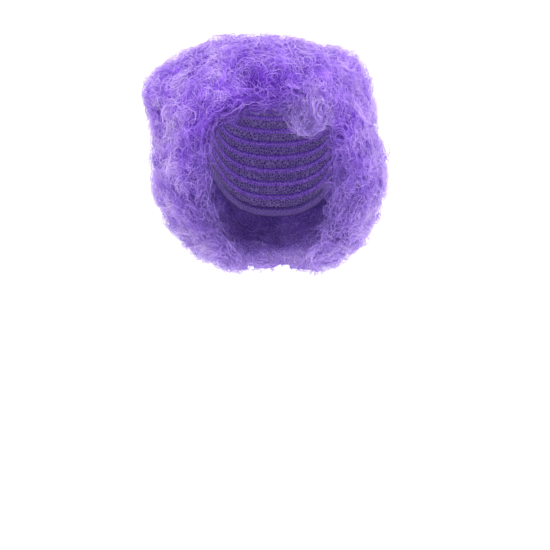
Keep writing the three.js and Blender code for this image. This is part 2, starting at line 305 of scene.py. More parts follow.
def hair_sheen(shader):
    """The soft sheen of synthetic fibre."""
    shader.inputs["Roughness"].default_value = 0.6
    shader.inputs["Specular IOR Level"].default_value = 0.12
    shader.inputs["Sheen Weight"].default_value = 0.12
    shader.inputs["Sheen Roughness"].default_value = 0.45
    shader.inputs["Sheen Tint"].default_value = (0.7, 0.5, 1, 1)


def object_place(tree):
    """The place on the object, in metres."""
    return add(tree, "ShaderNodeTexCoord").outputs["Object"]


def bumped(tree, shader, height, strength, distance):
    """Dents and ridges that only the light sees."""
    values = {"Height": height, "Strength": strength, "Distance": distance}
    bump = add(tree, "ShaderNodeBump", values)
    feed(tree, shader.inputs["Normal"], bump.outputs["Normal"])
    return bump


def reading(tree, name):
    """Reads a number that was stored on the mesh."""
    return add(tree, "ShaderNodeAttribute", attribute_name=name).outputs["Fac"]


def depth_of(tree, place):
    """How far out the hair is from the opening's middle: front, back and top are squeezed."""
    out = parts(tree, vector(tree, "SUBTRACT", place, OPENING_MIDDLE))
    front = combine(tree, "MULTIPLY", out["Y"], FRONT_SQUEEZE)
    behind = combine(tree, "MAXIMUM", front, combine(tree, "MULTIPLY", out["Y"], BACK_SQUEEZE))
    above = combine(tree, "MULTIPLY_ADD", out["Z"], TOP_SQUEEZE, TOP_START)
    above = combine(tree, "MINIMUM", out["Z"], above)
    spot = add(tree, "ShaderNodeCombineXYZ", {"X": out["X"], "Y": behind, "Z": above}).outputs[0]
    return vector(tree, "LENGTH", spot)


def violet_at(tree, tone, place):
    """The hair's colour: a tone moved by patches and by painted shade and light (dents, depth from
    the opening, a lift on the lock and the sides), greyer in painted shade near the face, the nape
    and the lock.
    """
    depth = depth_of(tree, place)
    patches = combine(tree, "SUBTRACT", noise(tree, place, PATCH_SIZE, Detail=1.0), 0.5)
    # Painted shade and light: random darker and lighter spots of a tuft's size, that read as shaded
    # dents and lit tufts.
    dent_shade = combine(tree, "SUBTRACT", noise(tree, place, SHADED_DENT_SIZE), 0.5)
    tone = combine(tree, "MULTIPLY_ADD", patches, PATCH_SHARE, tone)
    tone = combine(tree, "MULTIPLY_ADD", dent_shade, SHADED_DENT_SHARE, tone)
    # Painted shade near the opening, painted rim light further out.
    outer = mapped(tree, depth, SHADE_DEPTH, RIM_LIGHT_DEPTH, SHADE_LIFT, RIM_LIGHT_LIFT)
    tone = combine(tree, "ADD", tone, outer)
    # Painted light on the lock: lifts the painted shade of the opening off it.
    away = vector(tree, "LENGTH", vector(tree, "SUBTRACT", place, LOCK_MIDDLE))
    tone = combine(tree, "ADD", tone, mapped(tree, away, LOCK_INSIDE, LOCK_REACH, LOCK_LIFT, 0.0))
    height = parts(tree, place)["Z"]
    # Painted light: a lighter band round the sides at mid-height.
    off = combine(tree, "ABSOLUTE", combine(tree, "SUBTRACT", height, SIDE_HEIGHT))
    tone = combine(tree, "ADD", tone, mapped(tree, off, 20 * MM, 50 * MM, SIDE_LIFT, 0.0))
    stops = [
        (0.1, VIOLET_DEEP),
        (0.32, VIOLET_DARK),
        (0.52, VIOLET),
        (0.7, VIOLET_LIGHT),
        (0.92, VIOLET_PALE),
    ]
    # Painted shade: greyer near the face opening and towards the nape.
    full = mapped(tree, depth, 70 * MM, 92 * MM, FACE_SHADE_GREY)
    full = combine(tree, "MULTIPLY", full, mapped(tree, height, -190 * MM, -40 * MM, NAPE_SHADE_GREY))
    # Painted shade: the lock is greyer.
    full = combine(tree, "MULTIPLY", full, mapped(tree, away, LOCK_INSIDE, LOCK_REACH, LOCK_SHADE_GREY))
    colour = {"Color": ramp(tree, tone, stops), "Saturation": full}
    return add(tree, "ShaderNodeHueSaturation", colour).outputs["Color"]


def fibre_material(name, lift):
    material, tree, shader = new_material(name)
    place = object_place(tree)
    tone = combine(tree, "MULTIPLY_ADD", reading(tree, "tone"), 0.6, 0.24 + lift)
    # Painted light and shade: lighter on tuft crests, darker in the dents between them.
    tone = combine(tree, "MULTIPLY_ADD", reading(tree, "crest"), 0.1, tone)
    feed(tree, shader.inputs["Base Color"], violet_at(tree, tone, place))
    hair_sheen(shader)
    return material


def strand_lines(tree, place, size, lines):
    """Contour lines of a smooth noise: near-parallel arcs, as the fibres of a lock lie."""
    height = noise(tree, place, size, Distortion=0.5)
    return combine(tree, "SINE", combine(tree, "MULTIPLY", height, 2 * math.pi * lines))


def core_material(name, lift):
    material, tree, shader = new_material(name)
    place = object_place(tree)
    arcs = strand_lines(tree, place, ARC_SIZE, 15)
    curls = strand_lines(tree, place, ARC_SIZE * 0.55, 8)
    cells = {"Vector": place, "Scale": 1 / ARC_SIZE}
    cell = add(tree, "ShaderNodeTexVoronoi", cells, feature="F1").outputs["Color"]
    which = combine(tree, "GREATER_THAN", parts(tree, cell)["X"], 0.5)
    strands = combine(tree, "SUBTRACT", curls, arcs)
    strands = combine(tree, "MULTIPLY_ADD", strands, which, arcs)
    fuzz = noise(tree, place, 2.2 * MM, Detail=2.0, Distortion=1.0)
    height = combine(tree, "MULTIPLY_ADD", strands, 0.3, fuzz)
    tone = combine(tree, "MULTIPLY_ADD", height, 0.28, 0.17 + lift)
    # Painted light and shade: lighter on tuft crests, darker in the dents between them.
    tone = combine(tree, "MULTIPLY_ADD", reading(tree, "crest"), 0.14, tone)
    feed(tree, shader.inputs["Base Color"], violet_at(tree, tone, place))
    bumped(tree, shader, height, 0.7, 1.5 * MM)
    hair_sheen(shader)
    return material


violet_fibre = fibre_material("violet_fibre", 0.0)
violet_core = core_material("violet_core", 0.0)
# The combed strands get a lighter copy of the fibre: painted light on the strands laid over the
# hairline.
combed_fibre = fibre_material("combed_fibre", 0.12)
print("hair materials made")

# %% [markdown]
# ## Copies of the frame's solids
#
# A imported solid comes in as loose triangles. Before it can be remeshed or smoothed, a copy of it
# is welded, so that its faces share their corners. The solid itself is never touched.


# %% Copies of the solids
def welded_copy(node, name):
    shape = bmesh.new()
    shape.from_mesh(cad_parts[node].data)
    bmesh.ops.remove_doubles(shape, verts=shape.verts, dist=0.01 * MM)
    shape.verts.index_update()
    mesh = bpy.data.meshes.new(name)
    corners = [vert.co[:] for vert in shape.verts]
    mesh.from_pydata(corners, [], [[v.index for v in face.verts] for face in shape.faces])
    shape.free()
    return link(name, mesh)


def tree_of(*things):
    """A search tree of some surfaces, to measure how far off a point is or where a ray lands."""
    shape = bmesh.new()
    for thing in things:
        shape.from_mesh(thing.data)
    found = BVHTree.FromBMesh(shape)
    shape.free()
    return found


def settle(piece, material=None):
    """Turns what a piece's modifiers show into its plain mesh, and drops the modifiers."""
    graph = bpy.context.evaluated_depsgraph_get()
    mesh = bpy.data.meshes.new_from_object(piece.evaluated_get(graph))
    piece.modifiers.clear()
    piece.data = mesh
    mesh.shade_smooth()
    if material:
        mesh.materials.clear()
        mesh.materials.append(material)
    triangles = sum(len(face.vertices) - 2 for face in mesh.polygons)
    print(piece.name, triangles, "triangles")
    return piece


def dress(piece, node):
    """Rides a finished piece on the wig and lets it stand for its solid."""
    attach(piece, "root")
    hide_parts(node)


# %% [markdown]
# ## The core of the hair
#
# Under its outermost fibres an afro is a dense, springy ball. It could be modelled as thousands
# more fibres, but nobody would see them. So the core is one closed surface: the solid is
# remeshed to an even grid, drawn in by the depth of the loose fibres, and raised again in small
# round tufts by a cellular texture. The wall against the cap stays where it is.

# %% Core of the hair
CORE_GRID = 3.9 * MM
CORE_SINK = 10 * MM
LUMP_SIZE = 19 * MM
LUMP_RISE = 6.5 * MM
CURL_SIZE = 9 * MM
CURL_RISE = 3 * MM
VECTOR = "FLOAT_VECTOR"


def new_tree(name, sizes):
    """A Geometry Nodes tree with one named input for each size, and its input and output."""
    tree = bpy.data.node_groups.new(name, "GeometryNodeTree")
    tree.interface.new_socket("Geometry", in_out="INPUT", socket_type="NodeSocketGeometry")
    tree.interface.new_socket("Geometry", in_out="OUTPUT", socket_type="NodeSocketGeometry")
    for size, kind in sizes.items():
        tree.interface.new_socket(size, in_out="INPUT", socket_type="NodeSocket" + kind)
    given = tree.nodes.new("NodeGroupInput").outputs
    result = tree.nodes.new("NodeGroupOutput").inputs["Geometry"]
    return tree, given, result


def apply_tree(piece, tree, values):
    """Puts a tree on a piece, with each input set by its socket's identifier."""
    modifier = piece.modifiers.new(tree.name, "NODES")
    modifier.node_group = tree
    for socket in tree.interface.items_tree:
        if socket.in_out == "INPUT" and socket.name in values:
            modifier[socket.identifier] = values[socket.name]


def keep(tree, geometry, name, value, kind="FLOAT"):
    """Stores a value on the geometry under a name."""
    stored = {"Geometry": geometry, "Name": name, "Value": value}
    return add(tree, "GeometryNodeStoreNamedAttribute", stored, data_type=kind).outputs[0]


def kept(tree, name, kind="FLOAT"):
    """Reads a value that was stored under a name."""
    node = add(tree, "GeometryNodeInputNamedAttribute", {"Name": name}, data_type=kind)
    return node.outputs["Attribute"]


def relief_tree():
    """Draws the hair's outer side in, and raises tufts and curls on it."""
    sizes = {
        "Sink": "Float",
        "Lump size": "Float",
        "Lump rise": "Float",
        "Curl size": "Float",
        "Curl rise": "Float",
        "Middle": "Vector",
        "Inner": "Float",
    }
    tree, given, result = new_tree("hair_relief", sizes)
    place = add(tree, "GeometryNodeInputPosition").outputs[0]
    normal = add(tree, "GeometryNodeInputNormal").outputs[0]
    outwards = vector(tree, "NORMALIZE", vector(tree, "SUBTRACT", place, given["Middle"]))
    facing = vector(tree, "DOT_PRODUCT", normal, outwards)
    smooth = {"interpolation_type": "SMOOTHSTEP"}
    outer = mapped(tree, facing, -0.1, 0.4, given["Inner"], 1.0, **smooth)
    tufts = {"Vector": place, "Scale": combine(tree, "DIVIDE", 1.0, given["Lump size"])}
    cells = add(tree, "ShaderNodeTexVoronoi", tufts, feature="F1").outputs["Distance"]
    lump = combine(tree, "SUBTRACT", 0.6, combine(tree, "MULTIPLY", cells, cells))
    curls = {"Vector": place, "Scale": combine(tree, "DIVIDE", 1.0, given["Curl size"])}
    curls = add(tree, "ShaderNodeTexNoise", {**curls, "Detail": 2, "Distortion": 1})
    curl = combine(tree, "SUBTRACT", curls.outputs["Fac"], 0.5)
    rise = combine(tree, "MULTIPLY", lump, given["Lump rise"])
    rise = combine(tree, "MULTIPLY_ADD", curl, given["Curl rise"], rise)
    rise = combine(tree, "SUBTRACT", rise, given["Sink"])
    offset = vector(tree, "SCALE", normal, combine(tree, "MULTIPLY", rise, outer))
    # Tuft crests are kept for the materials, which paint them lighter and the dents between them
    # darker: painted light and shade.
    crest = mapped(tree, lump, 0.05, 0.6)
    shape = keep(tree, given["Geometry"], "crest", crest)
    shape = keep(tree, shape, "outer", outer)
    moved = add(tree, "GeometryNodeSetPosition", {"Geometry": shape, "Offset": offset})
    tree.links.new(moved.outputs[0], result)
    return tree


def make_core(node, name, grid, inner, sink, material):
    """A tufted core from a solid: remeshed on a grid, smoothed and put in relief."""
    core = welded_copy(node, name)
    remesh = core.modifiers.new("grid", "REMESH")
    remesh.mode = "VOXEL"
    remesh.voxel_size = grid
    smooth = core.modifiers.new("smooth", "SMOOTH")
    smooth.factor = 0.5
    smooth.iterations = 2
    settle(core)
    values = {
        "Sink": sink,
        "Lump size": LUMP_SIZE,
        "Lump rise": LUMP_RISE,
        "Curl size": CURL_SIZE,
        "Curl rise": CURL_RISE,
        "Middle": CAP_MIDDLE,
        "Inner": inner,
    }
    apply_tree(core, relief, values)
    return settle(core, material)


relief = relief_tree()
hair_core = make_core("hair_mass", "hair_core", CORE_GRID, 0.0, CORE_SINK, violet_core)

# %% [markdown]
# ## The fibres
#
# Each fibre leaves the core, climbs a few millimetres and winds round itself, as permed hair
# does. Modelling them by hand is out of the question, and Blender's own hair isn't kept by the
# export. Geometry Nodes scatter points on the core, put a short line on each, bend every line
# into its own coil with a formula, and give the coils a thin three-sided body.

# %% Fibre tree
FIBRE_POINTS = 7
LOCKS_A_METRE = 55
SWIRLS_A_METRE = 42
FRIZZ_A_METRE = 170
SIDE_TO_RADIUS = 0.58
PLACING_NAMES = ("root", "lean", "side", "up", "reach", "room", "start", "girth")
OTHER_NAMES = ("own", "share", "outer", "cover")


def draw(tree, seed, low=0.0, high=1.0, kind="FLOAT"):
    """A random value for each point, from a fixed seed."""
    values = {"Min": low, "Max": high, "Seed": seed}
    return add(tree, "FunctionNodeRandomValue", values, data_type=kind).outputs["Value"]


def lines_on(tree, points, count):
    """A straight line of so many points on each scattered point, ready to be bent."""
    line = add(tree, "GeometryNodeCurvePrimitiveLine").outputs[0]
    line = add(tree, "GeometryNodeResampleCurve", {"Curve": line, "Count": count}).outputs[0]
    placed = {"Points": points, "Instance": line}
    lines = add(tree, "GeometryNodeInstanceOnPoints", placed).outputs[0]
    return add(tree, "GeometryNodeRealizeInstances", {0: lines}).outputs[0]


def bent(tree, lines, spot):
    """The lines with each point moved to its spot."""
    values = {"Geometry": lines, "Position": spot}
    return add(tree, "GeometryNodeSetPosition", values).outputs[0]


def give_body(tree, lines, thickness):
    """A thin three-sided solid along each line."""
    radius = combine(tree, "MULTIPLY", thickness, SIDE_TO_RADIUS)
    profile = add(tree, "GeometryNodeCurvePrimitiveCircle", {"Resolution": 3, "Radius": radius})
    values = {"Curve": lines, "Profile Curve": profile.outputs[0], "Fill Caps": True}
    return add(tree, "GeometryNodeCurveToMesh", values)


def finish_tree(tree, given, result, geometry, names=()):
    """Makes plain geometry, drops the working values and gives it its material."""
    geometry = add(tree, "GeometryNodeRealizeInstances", {0: geometry}).outputs[0]
    for name in names:
        values = {"Geometry": geometry, "Name": name}
        geometry = add(tree, "GeometryNodeRemoveAttribute", values).outputs[0]
    values = {"Geometry": geometry, "Material": given["Material"]}
    tree.links.new(add(tree, "GeometryNodeSetMaterial", values).outputs[0], result)
    return tree


def fibre_tree():
    """Scatters frizzy coiled fibres over one slice of a core."""
    sizes = {
        "Density": "Float",
        "Seed": "Int",
        "Slices": "Float",
        "Slice": "Float",
        "Rise": "Float",
        "Inner rise": "Float",
        "Coil radius": "Float",
        "Coil turns": "Float",
        "Frizz": "Float",
        "Droop": "Float",
        "Room": "Float",
        "Inner room": "Float",
        "Thickness": "Float",
        "Material": "Material",
    }
    tree, given, result = new_tree("fibres", sizes)

    # The slice of the ball that this piece holds, by the turn from the front.
    place = add(tree, "GeometryNodeInputPosition").outputs[0]
    xyz = parts(tree, place)
    turn = combine(tree, "ARCTAN2", xyz["X"], combine(tree, "MULTIPLY", xyz["Y"], -1.0))
    share = combine(tree, "MULTIPLY_ADD", turn, 0.5 / math.pi, 1.0)
    step = combine(tree, "MULTIPLY_ADD", share, given["Slices"], 0.5)
    step = combine(tree, "FLOORED_MODULO", combine(tree, "FLOOR", step), given["Slices"])
    here = combine(tree, "COMPARE", step, given["Slice"], 0.1)
    here = combine(tree, "MULTIPLY", here, kept(tree, "cover"))
    density = combine(tree, "MULTIPLY", given["Density"], here)
    values = {"Mesh": given["Geometry"], "Density": density, "Seed": given["Seed"]}
    scattered = add(tree, "GeometryNodeDistributePointsOnFaces", values)
    points = scattered.outputs["Points"]

    # Neighbours share a lean and a coil, so that they gather in locks.
    drawn = draw(tree, 11, (-1, -1, -1), (1, 1, 1), VECTOR)
    shared = noise_vector(tree, place, LOCKS_A_METRE)
    normal = scattered.outputs["Normal"]
    outer = kept(tree, "outer")
    lean = vector(tree, "SCALE", normal, 0.6)
    lean = vector(tree, "ADD", lean, vector(tree, "SCALE", shared, 2.6))
    lean = vector(tree, "ADD", lean, vector(tree, "SCALE", drawn, 0.25))
    fall = add(tree, "ShaderNodeCombineXYZ")
    feed(tree, fall.inputs["Z"], combine(tree, "MULTIPLY", given["Droop"], -1.0))
    lean = vector(tree, "NORMALIZE", vector(tree, "ADD", lean, fall.outputs[0]))
    across = vector(tree, "ADD", shared, vector(tree, "SCALE", drawn, 0.12))
    side = vector(tree, "NORMALIZE", vector(tree, "CROSS_PRODUCT", lean, across))
    reach = combine(tree, "SUBTRACT", given["Rise"], given["Inner rise"])
    reach = combine(tree, "MULTIPLY_ADD", reach, outer, given["Inner rise"])
    reach = combine(tree, "MULTIPLY", reach, draw(tree, 21, 0.6, 1.15))

    room = combine(tree, "SUBTRACT", given["Room"], given["Inner room"])
    room = combine(tree, "MULTIPLY_ADD", room, outer, given["Inner room"])
    room = combine(tree, "MULTIPLY", room, draw(tree, 26, 0.55, 1.0))

    points = keep(tree, points, "up", normal, VECTOR)
    points = keep(tree, points, "room", room)
    points = keep(tree, points, "root", place, VECTOR)
    points = keep(tree, points, "lean", lean, VECTOR)
    points = keep(tree, points, "side", side, VECTOR)
    points = keep(tree, points, "reach", reach)
    swirl = noise(tree, place, 1 / SWIRLS_A_METRE)
    start = combine(tree, "MULTIPLY_ADD", swirl, 6 * math.pi, draw(tree, 22))
    width = noise(tree, place, 20 * MM)
    width = combine(tree, "MULTIPLY_ADD", width, 1.4, draw(tree, 24, -0.25, 0.25))
    girth = combine(tree, "MULTIPLY", combine(tree, "POWER", 4.0, width), 0.45)
    points = keep(tree, points, "start", start)
    points = keep(tree, points, "girth", girth)
    points = keep(tree, points, "own", draw(tree, 25))
    fibres = lines_on(tree, points, FIBRE_POINTS)

    # Each point's place on the coil follows from its share of the way along.
    along = add(tree, "GeometryNodeSplineParameter").outputs["Factor"]
    lean = kept(tree, "lean", VECTOR)
    side = kept(tree, "side", VECTOR)
    other = vector(tree, "CROSS_PRODUCT", lean, side)
    angle = combine(tree, "MULTIPLY", given["Coil turns"], 2 * math.pi)
    girth = kept(tree, "girth")
    angle = combine(tree, "DIVIDE", angle, combine(tree, "MAXIMUM", girth, 0.85))
    start = kept(tree, "start")
    angle = combine(tree, "MULTIPLY_ADD", angle, along, start)
    radius = combine(tree, "MULTIPLY", given["Coil radius"], girth)

    def on_circle(turned):
        one = vector(tree, "SCALE", side, combine(tree, "COSINE", turned))
        two = vector(tree, "SCALE", other, combine(tree, "SINE", turned))
        return vector(tree, "ADD", one, two)

    coil = vector(tree, "SUBTRACT", on_circle(angle), on_circle(start))
    climb = combine(tree, "MULTIPLY", kept(tree, "reach"), along)
    spot = vector(tree, "ADD", kept(tree, "root", VECTOR), vector(tree, "SCALE", lean, climb))
    spot = vector(tree, "ADD", spot, vector(tree, "SCALE", coil, radius))
    frizz = noise_vector(tree, spot, FRIZZ_A_METRE)
    spot = vector(tree, "ADD", spot, vector(tree, "SCALE", frizz, given["Frizz"]))

    # What would stand too far out, or cut into the core, is bent back along the surface.
    root = kept(tree, "root", VECTOR)
    up = kept(tree, "up", VECTOR)
    room = kept(tree, "room")
    height = vector(tree, "DOT_PRODUCT", vector(tree, "SUBTRACT", spot, root), up)
    share = combine(tree, "TANH", combine(tree, "DIVIDE", combine(tree, "ABSOLUTE", height), room))
    change = combine(tree, "SUBTRACT", combine(tree, "MULTIPLY", share, room), height)
    spot = vector(tree, "ADD", spot, vector(tree, "SCALE", up, change))
    fibres = keep(tree, fibres, "share", share)
    share = kept(tree, "share")
    fibres = bent(tree, fibres, spot)

    # Painted light and shade: a fibre is lighter towards its tip and where it stands out from the
    # core, darker where it lies in the core's shade; its own tint is random.
    own = kept(tree, "own")
    tone = combine(tree, "MULTIPLY", combine(tree, "MULTIPLY", own, own), 0.4)
    tone = combine(tree, "MULTIPLY_ADD", along, 0.15, tone)
    tone = combine(tree, "MULTIPLY_ADD", share, 0.35, tone)
    fibres = keep(tree, fibres, "tone", tone)
    solid = give_body(tree, fibres, given["Thickness"])
    feed(tree, solid.inputs["Scale"], combine(tree, "MULTIPLY_ADD", along, -0.55, 1.0))
    return finish_tree(tree, given, result, solid.outputs[0], PLACING_NAMES + OTHER_NAMES)


fibres = fibre_tree()
print("fibre tree with", len(fibres.nodes), "nodes")

# %% Fibres on the hair
SLICES = ("front", "front_left", "back_left", "back", "back_right", "front_right")
FRONT_DENSITY = 132000
BACK_DENSITY = 88000
INNER_COVER = 0.5
CAP_CLEARANCE = 3 * MM
FIBRE = {
    "Slices": float(len(SLICES)),
    "Rise": 12 * MM,
    "Inner rise": 4 * MM,
    "Room": 9.5 * MM,
    "Inner room": 3.5 * MM,
    "Coil radius": 5.2 * MM,
    "Coil turns": 0.7,
    "Frizz": 2.6 * MM,
    "Droop": 0.15,
    "Thickness": 0.5 * MM,
    "Material": violet_fibre,
}


def paint_cover(core):
    """No fibres grow against the cap, and few on the wall inside the openings."""
    cap = tree_of(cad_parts["wig_cap"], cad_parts["edge_band"])
    mesh = core.data
    outer = mesh.attributes["outer"].data
    cover = mesh.attributes.new("cover", "FLOAT", "POINT").data
    for vert in mesh.vertices:
        near = cap.find_nearest(vert.co, CAP_CLEARANCE)[0]
        share = INNER_COVER + (1 - INNER_COVER) * outer[vert.index].value
        cover[vert.index].value = 0.0 if near else share


def grow(core, name, changes):
    """One piece of fibres on a core."""
    piece = link(name, core.data.copy())
    values = {**FIBRE, **changes}
    apply_tree(piece, fibres, values)
    return settle(piece, values["Material"])


paint_cover(hair_core)
for number, slice_name in enumerate(SLICES):
    density = FRONT_DENSITY if "front" in slice_name else BACK_DENSITY
    changes = {"Density": density, "Seed": 40 + number, "Slice": float(number)}
    fibres_of_slice = grow(hair_core, "hair_" + slice_name, changes)
    dress(fibres_of_slice, "hair_mass")
dress(hair_core, "hair_mass")

# %% [markdown]
# ## The lock over the brow
#
# One lock falls out of the fringe over the brow. It is made as the rest of the hair is, a core
# with fibres on it, but its fibres hang more, and it ends in a soft round tip.

# %% Forelock
lock_core = make_core("forelock", "forelock_core", 2 * MM, 0.1, 5 * MM, violet_core)
paint_cover(lock_core)
lock_changes = {
    "Density": 200000,
    "Seed": 71,
    "Slices": 1.0,
    "Slice": 0.0,
    "Rise": 8 * MM,
    "Inner rise": 4 * MM,
    "Room": 5 * MM,
    "Inner room": 2.5 * MM,
    "Coil radius": 3.4 * MM,
    "Droop": 0.2,
}
lock_fibres = grow(lock_core, "forelock_fibres", lock_changes)
dress(lock_fibres, "forelock")
dress(lock_core, "forelock")

# %% [markdown]
# ## Combed strands
#
# Along the top of the face opening the outermost strands are swept sideways, so they follow the
# hairline and don't curl out of it. On the brow lock they run down from the fringe over its
# front, and join the two. A guide is a line of points on the solids. A tree lays each strand on
# its own stretch of that line: it starts and ends in the hair and rises a little in between.

# %% Combed strands
GUIDE_FROM = -70 * MM
GUIDE_TO = 20 * MM
GUIDE_STEP = 3 * MM
GUIDE_LOW = 1.5 * MM
GUIDE_HIGH = 13 * MM
GUIDE_SLOPE = 0.3
CORNER_AT = -42 * MM
CORNER_WIDTH = 20 * MM
CORNER_DROOP = 7 * MM
LOCK_LINES = (-14 * MM, -7 * MM, 0, 7 * MM, 14 * MM)
LOCK_LINE_WIDTH = 7 * MM
LOCK_ABOVE = 14 * MM
COMBED_POINTS = 13
COMBED_FRIZZ_A_METRE = 95
RAY_START = -0.3
SEARCH_FROM = -150 * MM
BROW_FRONT = -60 * MM
LOCK_DEPTH = 10 * MM


def guide(name, lows, highs):
    """A line of edges through the low points, with the way to the high ones stored on it."""
    mesh = bpy.data.meshes.new(name)
    joined = [(i, i + 1) for i in range(len(lows) - 1)]
    mesh.from_pydata([low[:] for low in lows], joined, [])
    rise = mesh.attributes.new("rise", VECTOR, "POINT").data
    for i, (low, high) in enumerate(zip(lows, highs)):
        rise[i].vector = high - low
    return link(name, mesh)


def hairline_guide():
    """A line along the fringe's lower edge at the brow, with the way up its face."""
    fringe = tree_of(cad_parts["hair_mass"])
    upwards = Vector((0, 1, GUIDE_SLOPE)).normalized()

    def face_at(x, z):
        return fringe.ray_cast(Vector((x, RAY_START, z)), upwards)[0]

    lows, highs = [], []
    x = GUIDE_FROM
    while x <= GUIDE_TO:
        z = SEARCH_FROM
        while not (face_at(x, z) and face_at(x, z).y < BROW_FRONT):
            z += 1 * MM
        droop = CORNER_DROOP * max(0.0, 1 - abs(x - CORNER_AT) / CORNER_WIDTH)
        lows.append(face_at(x, z + GUIDE_LOW) - Vector((0, 0, droop)))
        highs.append(face_at(x, z + GUIDE_HIGH) - Vector((0, 0, droop / 2)))
        x += GUIDE_STEP
    return guide("combed_strands", lows, highs)


def lock_guide(name, aside):
    """A line from the fringe down the front of the lock."""
    front = tree_of(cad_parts["hair_mass"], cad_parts["forelock"])
    x = LOCK_MIDDLE.x + aside
    lows, highs = [], []
    z = lock_low.z
    while z < lock_high.z + LOCK_ABOVE:
        ends = []
        for side in (x + LOCK_LINE_WIDTH / 2, x - LOCK_LINE_WIDTH / 2):
            start = Vector((side, RAY_START, z))
            ends.append(front.ray_cast(start, Vector((0, 1, 0)))[0])
        if all(end and end.y < LOCK_MIDDLE.y + LOCK_DEPTH for end in ends):
            lows.append(ends[0])
            highs.append(ends[1])
        z += GUIDE_STEP
    return guide(name, lows, highs)


def combed_tree():
    """Lays strands along a guide, each on its own stretch of it."""
    sizes = {
        "Count": "Int",
        "Seed": "Int",
        "Least span": "Float",
        "Most span": "Float",
        "Lift": "Float",
        "Frizz": "Float",
        "Brightest": "Float",
        "Thickness": "Float",
        "Material": "Material",
    }
    tree, given, result = new_tree("combed", sizes)
    path = add(tree, "GeometryNodeMeshToCurve", {0: given["Geometry"]}).outputs[0]

    def own_draw(shift, low, high):
        return draw(tree, combine(tree, "ADD", given["Seed"], shift), low, high)

    points = add(tree, "GeometryNodePoints", {"Count": given["Count"]}).outputs[0]
    span = own_draw(1, given["Least span"], given["Most span"])
    rest = combine(tree, "SUBTRACT", 1.0, span)
    start = combine(tree, "MULTIPLY", own_draw(2, 0.0, 1.0), rest)
    points = keep(tree, points, "span", span)
    points = keep(tree, points, "start", start)
    points = keep(tree, points, "level", own_draw(3, -0.1, 1.0))
    points = keep(tree, points, "drift", own_draw(4, -0.4, 0.4))
    points = keep(tree, points, "own", own_draw(5, 0.0, 1.0))
    strands = lines_on(tree, points, COMBED_POINTS)

    along = add(tree, "GeometryNodeSplineParameter").outputs["Factor"]
    share = combine(tree, "MULTIPLY_ADD", kept(tree, "span"), along, kept(tree, "start"))
    values = {"Curves": path, "Factor": share, "Value": kept(tree, "rise", VECTOR)}
    sample = add(tree, "GeometryNodeSampleCurve", values, data_type=VECTOR).outputs
    level = combine(tree, "MULTIPLY_ADD", kept(tree, "drift"), along, kept(tree, "level"))
    spot = vector(tree, "SCALE", sample["Value"], level)
    spot = vector(tree, "ADD", sample["Position"], spot)
    out = vector(tree, "CROSS_PRODUCT", sample["Tangent"], sample["Value"])
    arch = combine(tree, "SINE", combine(tree, "MULTIPLY", along, math.pi))
    arch = combine(tree, "MULTIPLY_ADD", arch, 2.0, -0.6)
    arch = combine(tree, "MULTIPLY", arch, given["Lift"])
    spot = vector(tree, "ADD", spot, vector(tree, "SCALE", vector(tree, "NORMALIZE", out), arch))
    frizz = noise_vector(tree, spot, COMBED_FRIZZ_A_METRE)
    spot = vector(tree, "ADD", spot, vector(tree, "SCALE", frizz, given["Frizz"]))
    strands = bent(tree, strands, spot)
    own = kept(tree, "own")
    tone = combine(tree, "MULTIPLY", combine(tree, "MULTIPLY", own, own), given["Brightest"])
    strands = keep(tree, strands, "tone", tone)
    solid = give_body(tree, strands, given["Thickness"]).outputs[0]
    return finish_tree(tree, given, result, solid, ("span", "start", "level", "drift", "own"))


combed = hairline_guide()
combed_sizes = {
    "Count": 110,
    "Seed": 5,
    "Least span": 0.14,
    "Most span": 0.36,
    "Lift": 2.2 * MM,
    "Frizz": 11 * MM,
    "Brightest": 0.85,
    "Thickness": 0.5 * MM,
    "Material": combed_fibre,
}
combing = combed_tree()
apply_tree(combed, combing, combed_sizes)
dress(settle(combed, combed_fibre), "hair_mass")
lock_sizes = {
    **combed_sizes,
    "Count": 24,
    "Least span": 0.25,
    "Most span": 0.5,
    "Lift": 1.2 * MM,
    "Frizz": 20 * MM,
    "Brightest": 0.65,
    "Material": violet_fibre,
}
for number, aside in enumerate(LOCK_LINES):
    strands = lock_guide("lock_strands_%d" % (number + 1), aside)
    apply_tree(strands, combing, {**lock_sizes, "Seed": 20 + number})
    dress(settle(strands, violet_fibre), "forelock")

# %% [markdown]
# ## The cap and its edge
#
# The cap is a knitted net of soft stretch thread, bound with elastic tape. The solids are
# faceted, so copies of them are turned into quads and smoothed with a subdivision surface, whose
# creases keep the rims sharp. The net's mesh is too fine to model, so cells with thin borders
# give it its threads in colour and bump.


# %% Cap and band
NET_CELL = 2.8 * MM
TAPE_RIBS = 420
CREASE_FROM = math.radians(55)


def smooth_shell(node, name, material):
    """A smoothed copy of a solid, in quads, with its rims kept sharp."""
    shell = welded_copy(node, name)
    shape = bmesh.new()
    shape.from_mesh(shell.data)
    bmesh.ops.join_triangles(
        shape,
        faces=shape.faces,
        angle_face_threshold=math.radians(40),
        angle_shape_threshold=math.radians(60),
    )
    crease = shape.edges.layers.float.new("crease_edge")
    for edge in shape.edges:
        if edge.calc_face_angle(0) > CREASE_FROM:
            edge[crease] = 1.0
    shape.to_mesh(shell.data)
    shape.free()
    fine = shell.modifiers.new("fine", "SUBSURF")
    fine.levels = fine.render_levels = 1
    return settle(shell, material)


